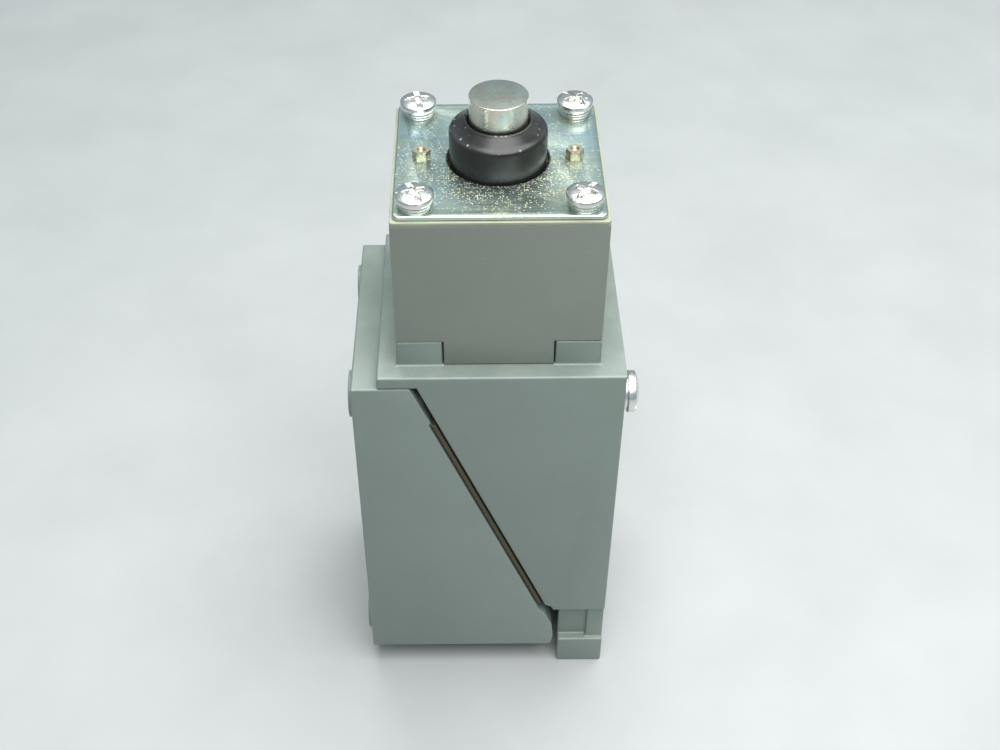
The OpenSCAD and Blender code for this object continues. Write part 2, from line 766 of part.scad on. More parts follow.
// Rubber boot: a flange clamped under the plate, a straight skirt and a sloped shoulder.
module plunger_boot() color([0.09, 0.09, 0.1]) {
    room = plunger_r + plunger_clear;
    translate([axis_x, 0, 0]) rotate_extrude() polygon([
        [room + boot_web, bushing_top + 0.1],
        [boot_flange_r, bushing_top + 0.1],
        [boot_flange_r, head_top],
        [boot_r, head_top],
        [boot_r, plate_top + boot_skirt_h],
        [boot_r - 0.7, plate_top + boot_skirt_h + 0.7],
        [room + 0.8, plate_top + boot_h],
        [room + 0.4, plate_top + boot_h],
        [room, plate_top + boot_h - 0.8],
        [room, plate_top + boot_skirt_h],
        [room + boot_web, plate_top + boot_skirt_h - 1]
    ]);
}

module guide_bushing() color([0.7, 0.55, 0.32]) {
    translate([axis_x, 0, bushing_bottom]) difference() {
        cylinder(r = bushing_r, h = bushing_len);
        translate([0, 0, -cut]) cylinder(r = plunger_r + plunger_clear, h = bushing_len + 2 * cut);
    }
}

module return_spring() color([0.7, 0.7, 0.72]) {
    translate([axis_x, 0, head_floor + fit])
        coil_spring((plunger_r + seat_r) / 2, return_wire_r, seat_bottom - head_floor - 2 * fit, 3.5);
}

// ---- plunger ----

module plunger() color([0.75, 0.73, 0.68]) {
    translate([axis_x, 0, 0]) difference() {
        intersection() {
            translate([0, 0, plunger_bottom]) cylinder(r = plunger_r, h = plunger_top - plunger_bottom);
            translate([0, 0, plunger_top - dome_r]) sphere(r = dome_r);
        }
        translate([0, 0, clip_top - clip_t]) difference() {
            cylinder(r = plunger_r + cut, h = clip_t);
            translate([0, 0, -cut]) cylinder(r = plunger_r - 0.9, h = clip_t + 2 * cut);
        }
        translate([0, 0, plunger_bottom - cut])
            cylinder(r = pin_bore_r, h = pin_top + overtravel_len - plunger_bottom + cut);
    }
}

module retaining_clip() color([0.6, 0.6, 0.62]) {
    translate([axis_x, 0, clip_top - clip_t]) difference() {
        cylinder(r = plunger_r + 1.6, h = clip_t);
        translate([0, 0, -cut]) cylinder(r = plunger_r - 0.9 + fit, h = clip_t + 2 * cut);
        block([0, -plunger_r * 0.6, -cut], [plunger_r + 2, plunger_r * 0.6, clip_t + cut]);
    }
}

module spring_seat() color([0.66, 0.66, 0.66]) {
    translate([axis_x, 0, seat_bottom]) difference() {
        cylinder(r = seat_r, h = seat_t);
        translate([0, 0, -cut]) cylinder(r = plunger_r + fit, h = seat_t + 2 * cut);
    }
}

module overtravel_spring() color([0.7, 0.7, 0.72]) {
    translate([axis_x, 0, pin_top + fit])
        coil_spring(pin_r - 0.6, 0.3, overtravel_len - 2 * fit, 6);
}

// ---- contact carrier ----

module transfer_pin() color([0.9, 0.88, 0.8]) {
    translate([axis_x, 0, pin_bottom]) cylinder(r = pin_r, h = pin_top - pin_bottom);
}

module contact_carrier() color([0.85, 0.83, 0.75]) {
    difference() {
        union() {
            block([axis_x - carrier_half_x, -carrier_half_y, carrier_bottom],
                  [axis_x + carrier_half_x, carrier_half_y, carrier_top]);
            translate([axis_x, 0, carrier_top - cut]) cylinder(r = stem_r, h = pin_bottom - carrier_top + cut);
        }
        block([axis_x - bridge_w / 2, -carrier_half_y - cut, bridge_bottom],
              [axis_x + bridge_w / 2, carrier_half_y + cut, bridge_top]);
    }
}

module contact_bridge() color([0.8, 0.66, 0.42]) {
    block([axis_x - bridge_w / 2 + fit, -open_y - tip_r - 0.4, bridge_bottom + fit / 2],
          [axis_x + bridge_w / 2 - fit, open_y + tip_r + 0.4, bridge_top - fit / 2]);
    at_sides(closed_y) translate([axis_x, 0, bridge_top - 0.1]) cylinder(r = tip_r, h = tip_t + 0.1);
    at_sides(open_y) translate([axis_x, 0, bridge_bottom - tip_t]) cylinder(r = tip_r, h = tip_t + 0.1);
}

module contact_spring() color([0.7, 0.7, 0.72]) {
    translate([axis_x, 0, spring_pocket + fit])
        coil_spring(1.9, 0.3, carrier_bottom - spring_pocket - 2 * fit, 4);
}

receptacle_housing();
joint_gasket();
screw_insert();
terminal_block();
terminal_strips();
terminal_clamps();
terminal_screws();
terminal_block_screws();
ground_screw();
switch_housing();
name_plate();
name_plate_pins();
captive_screw();
captive_washer();
contact_block_base();
contact_block_cover();
closed_contacts();
open_contacts();
block_screws();
stem_seal();
head_housing();
head_seal_ring();
plate_gasket();
top_plate();
head_screws();
lock_washers();
plate_studs();
plunger_boot();
guide_bushing();
return_spring();
plunger();
retaining_clip();
spring_seat();
overtravel_spring();
transfer_pin();
contact_carrier();
contact_bridge();
contact_spring();
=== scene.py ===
"""Looks of a plug-in limit switch with a booted push plunger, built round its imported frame."""
import json
import math

import bmesh
import bpy
import numpy as np
from mathutils import Matrix, Vector


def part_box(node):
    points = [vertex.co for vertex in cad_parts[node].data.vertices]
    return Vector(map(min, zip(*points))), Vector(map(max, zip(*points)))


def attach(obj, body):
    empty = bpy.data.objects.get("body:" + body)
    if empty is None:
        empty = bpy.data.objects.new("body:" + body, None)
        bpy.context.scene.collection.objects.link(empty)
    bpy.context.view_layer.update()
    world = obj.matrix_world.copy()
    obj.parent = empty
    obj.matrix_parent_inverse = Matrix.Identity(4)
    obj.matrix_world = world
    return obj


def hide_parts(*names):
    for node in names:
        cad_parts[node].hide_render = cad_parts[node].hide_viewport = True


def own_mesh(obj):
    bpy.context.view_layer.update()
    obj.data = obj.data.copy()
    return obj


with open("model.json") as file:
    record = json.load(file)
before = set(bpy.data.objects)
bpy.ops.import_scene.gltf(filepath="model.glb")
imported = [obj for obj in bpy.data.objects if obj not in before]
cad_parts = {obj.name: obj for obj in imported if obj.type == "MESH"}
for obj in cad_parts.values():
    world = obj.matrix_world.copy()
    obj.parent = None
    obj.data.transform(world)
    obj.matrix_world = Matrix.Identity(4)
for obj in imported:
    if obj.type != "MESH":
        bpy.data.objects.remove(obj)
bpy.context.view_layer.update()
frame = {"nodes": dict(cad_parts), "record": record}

MM = 0.001


# ---- places taken from the frame ----

def span(node):
    """The lowest and highest corner of a CAD node, as arrays."""
    low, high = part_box(node)
    return np.array(low), np.array(high)


plate_low, plate_high = span("top_plate")
plunger_low, plunger_high = span("plunger")
boot_low, boot_high = span("plunger_boot")
screws_low, screws_high = span("head_screws")
washers_low, washers_high = span("lock_washers")
AXIS = (plate_low + plate_high) / 2 * np.array([1, 1, 0])   # the plunger's axis, at z = 0
PLATE_TOP = plate_high[2]
HEAD_TOP = span("head_housing")[1][2]
PLUNGER_R = (plunger_high[0] - plunger_low[0]) / 2
BOOT_FLANGE = 2.4 * MM   # how much wider the boot is under the plate
BOOT_R = (boot_high[0] - boot_low[0]) / 2 - BOOT_FLANGE
HEAD_SCREW_R = 3.05 * MM
CAPTIVE_R = 3.7 * MM
PLUNGER_TRAVEL = 4.2 * MM
CONTACT_TRAVEL = PLUNGER_TRAVEL / 2
STRIP_HALF = 2.75 * MM   # half the width of a terminal strip
INNER_ROW = 4.6          # where the two middle terminal screws stand either side, in mm
SCREW_REACH = (screws_high - screws_low) / 2 - HEAD_SCREW_R  # from the axis to a head screw
WASHER_T = washers_high[2] - PLATE_TOP


# ---- mesh tools ----

def revolve(profile, sides=96, centre=AXIS):
    """Carries a profile of (radius, height) points round a vertical axis: a grid of profile by angle."""
    profile = np.asarray(profile)
    angle = np.linspace(0, 2 * math.pi, sides, endpoint=False)
    r, z = profile[:, :1], profile[:, 1:]
    return np.stack([centre[0] + r * np.cos(angle), centre[1] + r * np.sin(angle), z + 0 * angle], -1)


def rounded(points, radii, steps=6):
    """An outline whose corners are arcs: each corner is cut back by the radius given and bridged by a
    quadratic arc from one cut to the other."""
    points = np.asarray(points, float)
    out = [points[:1]]
    t = np.linspace(0, 1, steps)[:, None]
    for k in range(1, len(points) - 1):
        here, back, on = points[k], points[k - 1] - points[k], points[k + 1] - points[k]
        cut = min(radii[k], 0.48 * np.linalg.norm(back), 0.48 * np.linalg.norm(on))
        if cut <= 0:
            out.append(points[k:k + 1])
            continue
        start = here + back / np.linalg.norm(back) * cut
        end = here + on / np.linalg.norm(on) * cut
        out.append((1 - t) ** 2 * start + 2 * t * (1 - t) * here + t ** 2 * end)
    out.append(points[-1:])
    return np.concatenate(out)


def sweep(path, wire_r, sides=12):
    """A round wire carried along a path: at each point the ring stands across the path's direction."""
    along = np.gradient(path, axis=0)
    along /= np.linalg.norm(along, axis=1, keepdims=True)
    out = path * np.array([1, 1, 0]) - AXIS
    out /= np.linalg.norm(out, axis=1, keepdims=True)
    side = np.cross(along, out)
    side /= np.linalg.norm(side, axis=1, keepdims=True)
    out = np.cross(side, along)
    a = np.linspace(0, 2 * math.pi, sides, endpoint=False)[None, :, None]
    ring = path[:, None] + wire_r * (np.cos(a) * out[:, None] + np.sin(a) * side[:, None])
    ends = np.repeat(path[[0, -1], None], sides, axis=1)
    return np.concatenate([ends[:1], ring, ends[1:]])


def surface(name, grids, closed=False, crease=35):
    """One mesh from grids of points. Columns run round and always close; rows close if closed is set,
    and a row whose points coincide becomes a pole."""
    points, quads, first = [], [], 0
    for grid in grids:
        rows, cols = grid.shape[:2]
        index = np.arange(rows * cols).reshape(rows, cols) + first
        if closed:
            index = np.vstack([index, index[:1]])
        index = np.hstack([index, index[:, :1]])
        corners = [index[:-1, :-1], index[:-1, 1:], index[1:, 1:], index[1:, :-1]]
        quads.append(np.stack(corners, -1).reshape(-1, 4))
        points.append(grid.reshape(-1, 3))
        first += rows * cols
    mesh = bpy.data.meshes.new(name)
    mesh.from_pydata(np.concatenate(points).tolist(), [], np.concatenate(quads).tolist())
    work = bmesh.new()
    work.from_mesh(mesh)
    bmesh.ops.remove_doubles(work, verts=work.verts, dist=1e-7)
    bmesh.ops.recalc_face_normals(work, faces=work.faces)
    work.to_mesh(mesh)
    work.free()
    smooth(mesh, crease)
    return mesh


def smooth(mesh, crease):
    """Smooth shading, with edges sharper than the crease, in degrees, left hard."""
    mesh.shade_smooth()
    mesh.set_sharp_from_angle(angle=math.radians(crease))


def piece(name, mesh, material, node, body):
    """A finished piece that stands for a CAD node and moves with a body."""
    made = bpy.data.objects.new(name, mesh)
    bpy.context.scene.collection.objects.link(made)
    mesh.materials.clear()
    mesh.materials.append(material)
    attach(made, body)
    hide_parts(node)
    return made


def corner_width(edge, widest, fine):
    """How far one sharp edge is rounded: a short stretch of a hole's rim only finely, and a long edge up
    to two fifths of the shortest edge that meets it."""
    length = edge.calc_length()
    along = (edge.verts[1].co - edge.verts[0].co).normalized()
    near = [length]
    curved = False
    for vert in edge.verts:
        for other in vert.link_edges:
            if other is edge or other.calc_face_angle(0) < math.radians(20):
                continue
            way = (other.verts[1].co - other.verts[0].co).normalized()
            turn = abs(way.dot(along))
            if turn > 0.85:
                curved = curved or turn < 0.99999
            else:
                near.append(other.calc_length())
    if curved:
        return fine
    return min(widest, 0.4 * min(near))


def rounded_copy(name, node, widest, fine=0.12 * MM):
    """A merged copy of a CAD node whose sharp edges are rounded by a bevel of varying width."""
    work = bmesh.new()
    work.from_mesh(frame["nodes"][node].data)
    bmesh.ops.remove_doubles(work, verts=work.verts, dist=2e-6)
    bmesh.ops.dissolve_limit(work, angle_limit=math.radians(0.4), verts=work.verts, edges=work.edges)
    weight = work.edges.layers.float.new("bevel_weight_edge")
    for edge in work.edges:
        if len(edge.link_faces) == 2 and edge.calc_face_angle(0) > math.radians(20):
            edge[weight] = corner_width(edge, widest, min(fine, widest)) / widest
    mesh = bpy.data.meshes.new(name)
    work.to_mesh(mesh)
    work.free()
    mesh.shade_smooth()
    return mesh


def bevelled(made, widest, segments=3):
    """Rounds the edges that carry a bevel weight."""
    bevel = made.modifiers.new("rounding", "BEVEL")
    bevel.limit_method = "WEIGHT"
    bevel.offset_type = "OFFSET"
    bevel.width = widest
    bevel.segments = segments
    bevel.use_clamp_overlap = False
    bevel.harden_normals = True
    return made


# ---- shader tools ----

def add(tree, kind, inputs=None, **settings):
    """One shader node. An input's value is another node's output, which is linked, or a constant."""
    made = tree.nodes.new(kind)
    for key, value in settings.items():
        setattr(made, key, value)
    for key, value in (inputs or {}).items():
        if isinstance(value, bpy.types.NodeSocket):
            tree.links.new(value, made.inputs[key])
        else:
            made.inputs[key].default_value = value
    return made


def group(name, inputs, outputs):
    """An empty node group with named float sockets."""
    tree = bpy.data.node_groups.new(name, "ShaderNodeTree")
    for label, value in inputs.items():
        socket = tree.interface.new_socket(label, in_out="INPUT", socket_type="NodeSocketFloat")
        socket.default_value = value
    for label in outputs:
        tree.interface.new_socket(label, in_out="OUTPUT", socket_type="NodeSocketFloat")
    return tree, tree.nodes.new("NodeGroupInput"), tree.nodes.new("NodeGroupOutput")


def maths(tree, operation, a, b=0.0, clamp=False):
    """One step of arithmetic on two values."""
    return add(tree, "ShaderNodeMath", {0: a, 1: b}, operation=operation, use_clamp=clamp).outputs[0]


def noise(tree, where, scale, detail=3.0, rough=0.55):
    """A cloudy value between 0 and 1; the scale is in cells per metre."""
    return add(tree, "ShaderNodeTexNoise", {"Vector": where, "Scale": scale, "Detail": detail,
                                            "Roughness": rough}).outputs["Fac"]


def ramp(tree, value, low, high, out_low=0.0, out_high=1.0):
    """A value carried from one range to another, held at its ends."""
    return add(tree, "ShaderNodeMapRange", {"Value": value, "From Min": low, "From Max": high,
                                            "To Min": out_low, "To Max": out_high}).outputs["Result"]


def mix(tree, share, a, b):
    """A colour between a and b."""
    made = add(tree, "ShaderNodeMix", data_type="RGBA")
    for index, value in ((0, share), (6, a), (7, b)):
        if isinstance(value, bpy.types.NodeSocket):
            tree.links.new(value, made.inputs[index])
        else:
            made.inputs[index].default_value = value if index == 0 else (*value, 1.0)[:4]
    return made.outputs[2]


def edge_rub_highlight_group():
    """Where the surface turns sharply, broken up by a noise: the mask for lighter edges, partly scuffed
    finish and partly a painted highlight.
    """
    tree, given, out = group("edge_rub_highlight", {"Radius": 0.4 * MM, "Low": 0.02, "High": 0.25}, ["Mask"])
    soft = add(tree, "ShaderNodeBevel", {"Radius": given.outputs["Radius"]}, samples=6)
    true = add(tree, "ShaderNodeNewGeometry")
    facing = add(tree, "ShaderNodeVectorMath", {0: soft.outputs[0], 1: true.outputs["Normal"]},
                 operation="DOT_PRODUCT")
    turn = maths(tree, "SUBTRACT", 1.0, facing.outputs["Value"])
    where = add(tree, "ShaderNodeTexCoord").outputs["Object"]
    patchy = ramp(tree, noise(tree, where, 420.0), 0.3, 0.7, 0.35, 1.0)
    edge_share = add(tree, "ShaderNodeMapRange", {"Value": turn, "From Min": given.outputs["Low"],
                                            "From Max": given.outputs["High"]}).outputs["Result"]
    tree.links.new(maths(tree, "MULTIPLY", edge_share, patchy), out.inputs["Mask"])
    return tree


def cast_grain_group():
    """Enamel over a casting: broad tone, fine peel, small pits and light specks."""
    tree, given, out = group("cast_grain", {"Peel": 2600.0, "Speck": 420.0},
                             ["Tone", "Height", "Pits", "Specks"])
    where = add(tree, "ShaderNodeTexCoord").outputs["Object"]
    broad = noise(tree, where, 55.0, 4.0)
    mid = noise(tree, where, 330.0, 3.0)
    tone = maths(tree, "ADD", maths(tree, "MULTIPLY", broad, 0.65), maths(tree, "MULTIPLY", mid, 0.35))
    tree.links.new(ramp(tree, tone, 0.36, 0.64), out.inputs["Tone"])
    peel = add(tree, "ShaderNodeTexNoise", {"Vector": where, "Scale": given.outputs["Peel"], "Detail": 2.0})
    tree.links.new(maths(tree, "ADD", peel.outputs["Fac"], maths(tree, "MULTIPLY", mid, 0.8)),
                   out.inputs["Height"])
    for label, low, high, seed in (("Pits", 0.86, 0.06, 0.0), ("Specks", 0.80, 0.075, 31.7)):
        shifted = add(tree, "ShaderNodeMapping", {"Vector": where, "Location": (seed, 0.4 * seed, 0.0)})
        cell = add(tree, "ShaderNodeTexVoronoi", {"Vector": shifted.outputs[0],
                                                  "Scale": given.outputs["Speck"]})
        chosen = maths(tree, "GREATER_THAN", add(tree, "ShaderNodeSeparateColor",
                                                 {0: cell.outputs["Color"]}).outputs[0], low)
        dot = ramp(tree, cell.outputs["Distance"], high, 0.4 * high)
        tree.links.new(maths(tree, "MULTIPLY", chosen, dot), out.inputs[label])
    return tree


def dust_group():
    """Fine dust that lies on what faces up: flecks with a thin film between them."""
    tree, given, out = group("settled_dust", {"Amount": 0.5, "Fleck": 900.0}, ["Film", "Flecks"])
    where = add(tree, "ShaderNodeTexCoord").outputs["Object"]
    true = add(tree, "ShaderNodeNewGeometry")
    facing = add(tree, "ShaderNodeSeparateXYZ", {0: true.outputs["Normal"]}).outputs["Z"]
    up = ramp(tree, facing, 0.35, 0.95)
    cloud = ramp(tree, noise(tree, where, 140.0, 5.0), 0.42, 0.68)
    film = maths(tree, "MULTIPLY", maths(tree, "MULTIPLY", up, cloud), given.outputs["Amount"])
    tree.links.new(film, out.inputs["Film"])
    cell = add(tree, "ShaderNodeTexVoronoi", {"Vector": where, "Scale": given.outputs["Fleck"]})
    pick = add(tree, "ShaderNodeSeparateColor", {0: cell.outputs["Color"]}).outputs[1]
    crowd = maths(tree, "ADD", pick, maths(tree, "MULTIPLY", cloud, 0.3))
    chosen = maths(tree, "GREATER_THAN", crowd, 0.93)
    dot = ramp(tree, cell.outputs["Distance"], 0.32, 0.2)
    flecks = maths(tree, "MULTIPLY", maths(tree, "MULTIPLY", chosen, dot), up)
    tree.links.new(flecks, out.inputs["Flecks"])
    return tree


def lathe_group():
    """Fine turning marks: rings that follow the distance from the plunger's axis plus the height."""
    tree, given, out = group("lathe_marks", {"Pitch": 9000.0}, ["Rings", "Stain"])
    where = add(tree, "ShaderNodeTexCoord").outputs["Object"]
    centred = add(tree, "ShaderNodeMapping", {"Vector": where, "Location": (-AXIS[0], -AXIS[1], 0.0)})
    part = add(tree, "ShaderNodeSeparateXYZ", {0: centred.outputs[0]})
    flat = add(tree, "ShaderNodeCombineXYZ", {0: part.outputs[0], 1: part.outputs[1]})
    radius = add(tree, "ShaderNodeVectorMath", {0: flat.outputs[0]}, operation="LENGTH").outputs["Value"]
    run = maths(tree, "ADD", radius, part.outputs[2])
    line = add(tree, "ShaderNodeCombineXYZ", {0: run})
    rings = add(tree, "ShaderNodeTexNoise", {"Vector": line.outputs[0], "Scale": given.outputs["Pitch"],
                                             "Detail": 3.0})
    tree.links.new(rings.outputs["Fac"], out.inputs["Rings"])
    tree.links.new(ramp(tree, noise(tree, where, 260.0, 5.0, 0.65), 0.42, 0.66), out.inputs["Stain"])
    return tree


def brushed_group():
    """Rolling marks: a noise drawn out along X."""
    tree, given, out = group("rolling_marks", {"Fine": 1.0}, ["Lines", "Cloud"])
    where = add(tree, "ShaderNodeTexCoord").outputs["Object"]
    drawn = add(tree, "ShaderNodeMapping", {"Vector": where, "Scale": (120.0, 5200.0, 5200.0)})
    tree.links.new(noise(tree, drawn.outputs[0], 1.0, 3.0), out.inputs["Lines"])
    tree.links.new(ramp(tree, noise(tree, where, 90.0, 5.0, 0.6), 0.38, 0.66), out.inputs["Cloud"])
    return tree


def deposit_group():
    """A fine deposit on the top plate: grains that crowd towards the boot, most of all on its -Y side."""
    tree, given, out = group("fine_deposit", {"Inner": 8.0 * MM, "Outer": 17.0 * MM}, ["Grains", "Haze"])
    where = add(tree, "ShaderNodeTexCoord").outputs["Object"]
    centred = add(tree, "ShaderNodeMapping", {"Vector": where, "Location": (-AXIS[0], -AXIS[1], 0.0)})
    part = add(tree, "ShaderNodeSeparateXYZ", {0: centred.outputs[0]})
    flat = add(tree, "ShaderNodeCombineXYZ", {0: part.outputs[0], 1: part.outputs[1]})
    radius = add(tree, "ShaderNodeVectorMath", {0: flat.outputs[0]}, operation="LENGTH").outputs["Value"]
    near = add(tree, "ShaderNodeMapRange", {"Value": radius, "From Min": given.outputs["Outer"],
                                            "From Max": given.outputs["Inner"]}).outputs["Result"]
    side = ramp(tree, part.outputs[1], 6.0 * MM, -7.0 * MM, 0.25, 1.0)
    patch = ramp(tree, noise(tree, where, 420.0, 4.0, 0.6), 0.36, 0.66, 0.35, 1.0)
    share = maths(tree, "MULTIPLY", maths(tree, "MULTIPLY", near, side), patch, True)
    cell = add(tree, "ShaderNodeTexVoronoi", {"Vector": where, "Scale": 3900.0})
    pick = add(tree, "ShaderNodeSeparateColor", {0: cell.outputs["Color"]}).outputs[0]
    chosen = maths(tree, "LESS_THAN", pick, maths(tree, "ADD", maths(tree, "MULTIPLY", share, 0.75), 0.04))
    grains = maths(tree, "MULTIPLY", chosen, ramp(tree, cell.outputs["Distance"], 0.50, 0.25))
    tree.links.new(grains, out.inputs["Grains"])
    tree.links.new(share, out.inputs["Haze"])
    return tree


RUB_AND_HIGHLIGHT, GRAIN, DUST = edge_rub_highlight_group(), cast_grain_group(), dust_group()
LATHE, BRUSHED, DEPOSIT = lathe_group(), brushed_group(), deposit_group()


def start(name, **constants):
    """A material with its shader and constants; returns the material, its tree and the shader."""
    made = bpy.data.materials.new(name)
    made.use_nodes = True
    tree = made.node_tree
    shader = tree.nodes["Principled BSDF"]
    for key, value in constants.items():
        shader.inputs[key.replace("_", " ")].default_value = value
    return made, tree, shader


def use(tree, effect, **values):
    """The outputs of a node group placed in a material."""
    made = tree.nodes.new("ShaderNodeGroup")
    made.node_tree = effect
    for key, value in values.items():
        made.inputs[key].default_value = value
    return made.outputs


def bump(tree, shader, height, strength, distance):
    """Tilts the shader's normal along the slope of a height."""
    made = add(tree, "ShaderNodeBump", {"Height": height, "Strength": strength, "Distance": distance})
    tree.links.new(made.outputs[0], shader.inputs["Normal"])


def enamel(name, colour, light, chip=(0.42, 0.44, 0.43)):
    """Satin enamel on a die casting, with lighter edges (scuffed paint and a painted highlight), pits,
    specks and a little dust.
    """
    made, tree, shader = start(name, IOR=1.5)
    grain, rub_highlight = use(tree, GRAIN), use(tree, RUB_AND_HIGHLIGHT, Radius=0.5 * MM, Low=0.03, High=0.3)
    dust = use(tree, DUST, Amount=0.2, Fleck=2600.0)
    base = mix(tree, grain["Tone"], tuple(0.96 * c for c in colour), tuple(1.03 * c for c in colour))
    # lighter sharp edges: scuffed paint, and a painted highlight along each edge
    base = mix(tree, maths(tree, "MULTIPLY", rub_highlight["Mask"], 0.38), base, light)
    base = mix(tree, maths(tree, "MULTIPLY", grain["Specks"], 0.35), base, chip)
    base = mix(tree, maths(tree, "MULTIPLY", grain["Pits"], 0.5), base, tuple(0.35 * c for c in colour))
    base = mix(tree, maths(tree, "MULTIPLY", dust["Film"], 0.5), base, (0.42, 0.43, 0.40))
    base = mix(tree, maths(tree, "MULTIPLY", dust["Flecks"], 0.12), base, (0.6, 0.6, 0.55))
    tree.links.new(base, shader.inputs["Base Color"])
    gloss = ramp(tree, grain["Tone"], 0.0, 1.0, 0.30, 0.38)
    tree.links.new(maths(tree, "SUBTRACT", gloss, maths(tree, "MULTIPLY", rub_highlight["Mask"], 0.08)),
                   shader.inputs["Roughness"])
    bump(tree, shader, grain["Height"], 0.22, 0.05 * MM)
    return made


def zinc(name, colour, tint, rough, dusty, edge_highlight_colour=(0.9, 0.9, 0.86)):
    """Bright zinc plate: a mirror-like metal with clouds of a second tint and fine rolling marks."""
    made, tree, shader = start(name, Metallic=1.0)
    marks, rub_highlight = use(tree, BRUSHED), use(tree, RUB_AND_HIGHLIGHT, Radius=0.25 * MM, Low=0.02, High=0.25)
    dust = use(tree, DUST, Amount=dusty, Fleck=1100.0)
    base = mix(tree, marks["Cloud"], colour, tint)
    # near-white sharp edges: scuffs, and a painted highlight along each edge
    base = mix(tree, maths(tree, "MULTIPLY", rub_highlight["Mask"], 0.5), base, edge_highlight_colour)
    base = mix(tree, maths(tree, "MULTIPLY", dust["Film"], 0.35), base, (0.45, 0.43, 0.30))
    base = mix(tree, maths(tree, "MULTIPLY", dust["Flecks"], 0.4), base, (0.75, 0.72, 0.45))
    tree.links.new(base, shader.inputs["Base Color"])
    dull = ramp(tree, marks["Lines"], 0.3, 0.7, rough, rough + 0.12)
    dull = maths(tree, "ADD", dull, maths(tree, "MULTIPLY", dust["Film"], 0.35))
    tree.links.new(maths(tree, "ADD", dull, maths(tree, "MULTIPLY", dust["Flecks"], 0.4), True),
                   shader.inputs["Roughness"])
    bump(tree, shader, maths(tree, "ADD", marks["Lines"], dust["Flecks"]), 0.05, 0.02 * MM)
    return made


def speckled_zinc(name, colour, tint, rough):
    """Zinc plate with broad clouds of tint and a fine yellow deposit round the boot."""
    made, tree, shader = start(name)
    marks, rub_highlight = use(tree, BRUSHED), use(tree, RUB_AND_HIGHLIGHT, Radius=0.25 * MM, Low=0.02, High=0.25)
    deposit = use(tree, DEPOSIT, Inner=BOOT_R, Outer=BOOT_R + 10 * MM)
    base = mix(tree, marks["Cloud"], colour, tint)
    # near-white rim and edges: a painted highlight line, with some scuffing
    base = mix(tree, maths(tree, "MULTIPLY", rub_highlight["Mask"], 0.6), base, (0.92, 0.93, 0.88))
    base = mix(tree, maths(tree, "MULTIPLY", deposit["Haze"], 0.25), base, (0.60, 0.60, 0.42))
    base = mix(tree, deposit["Grains"], base, (0.48, 0.47, 0.28))
    tree.links.new(base, shader.inputs["Base Color"])
    tree.links.new(ramp(tree, deposit["Grains"], 0.0, 1.0, 1.0, 0.4), shader.inputs["Metallic"])
    dull = ramp(tree, marks["Lines"], 0.3, 0.7, rough, rough + 0.08)
    tree.links.new(maths(tree, "ADD", dull, maths(tree, "MULTIPLY", deposit["Grains"], 0.4), True),
                   shader.inputs["Roughness"])
    bump(tree, shader, maths(tree, "ADD", marks["Lines"], deposit["Grains"]), 0.10, 0.02 * MM)
    return made


def turned(name, colour, stain, rough):
    """Turned bar: rings of fine tool marks and a patchy stain."""
    made, tree, shader = start(name, Metallic=1.0)
    marks, rub_highlight = use(tree, LATHE), use(tree, RUB_AND_HIGHLIGHT, Radius=0.3 * MM, Low=0.02, High=0.3)
    base = mix(tree, marks["Stain"], colour, stain)
    # lighter sharp edges: scuffs, and a painted highlight
    base = mix(tree, maths(tree, "MULTIPLY", rub_highlight["Mask"], 0.5), base, (0.85, 0.83, 0.78))
    tree.links.new(base, shader.inputs["Base Color"])
    dull = ramp(tree, marks["Rings"], 0.3, 0.7, rough - 0.05, rough + 0.08)
    tree.links.new(maths(tree, "ADD", dull, maths(tree, "MULTIPLY", marks["Stain"], 0.08)),
                   shader.inputs["Roughness"])
    bump(tree, shader, marks["Rings"], 0.12, 0.015 * MM)
    return made


def rubber(name, colour, dusty, rough=0.36):
    """Moulded rubber: near black, a soft sheen, faint mould texture and dust in the hollows."""
    made, tree, shader = start(name, IOR=1.5, Specular_IOR_Level=0.34)
    grain = use(tree, GRAIN, Peel=3400.0, Speck=640.0)
    dust = use(tree, DUST, Amount=dusty, Fleck=1300.0)
    base = mix(tree, grain["Tone"], tuple(0.8 * c for c in colour), tuple(1.4 * c for c in colour))
    base = mix(tree, maths(tree, "MULTIPLY", dust["Film"], 0.25), base, (0.16, 0.16, 0.15))
    specks = maths(tree, "MAXIMUM", grain["Specks"], maths(tree, "MULTIPLY", dust["Flecks"], 0.45))
    base = mix(tree, specks, base, (0.50, 0.49, 0.42))
    tree.links.new(base, shader.inputs["Base Color"])
    tree.links.new(ramp(tree, grain["Tone"], 0.0, 1.0, rough - 0.06, rough + 0.08),
                   shader.inputs["Roughness"])
    bump(tree, shader, grain["Height"], 0.18, 0.04 * MM)
    return made


def moulded(name, colour, rough=0.5):
    """Moulded plastic with a faint flow pattern, lighter edges (scuffs and a painted highlight) and fine
    grain.
    """
    made, tree, shader = start(name, IOR=1.49)
    grain, rub_highlight = use(tree, GRAIN, Peel=3000.0, Speck=300.0), use(tree, RUB_AND_HIGHLIGHT, Radius=0.3 * MM)
    base = mix(tree, grain["Tone"], tuple(0.86 * c for c in colour), tuple(1.12 * c for c in colour))
    # lighter edge colour: scuffs, and a painted highlight
    edge_colour = tuple(min(1, 1.6 * c + 0.05) for c in colour)
    base = mix(tree, maths(tree, "MULTIPLY", rub_highlight["Mask"], 0.2), base, edge_colour)
    tree.links.new(base, shader.inputs["Base Color"])
    tree.links.new(ramp(tree, grain["Tone"], 0.0, 1.0, rough - 0.07, rough + 0.08),
                   shader.inputs["Roughness"])
    bump(tree, shader, grain["Height"], 0.15, 0.03 * MM)
    return made
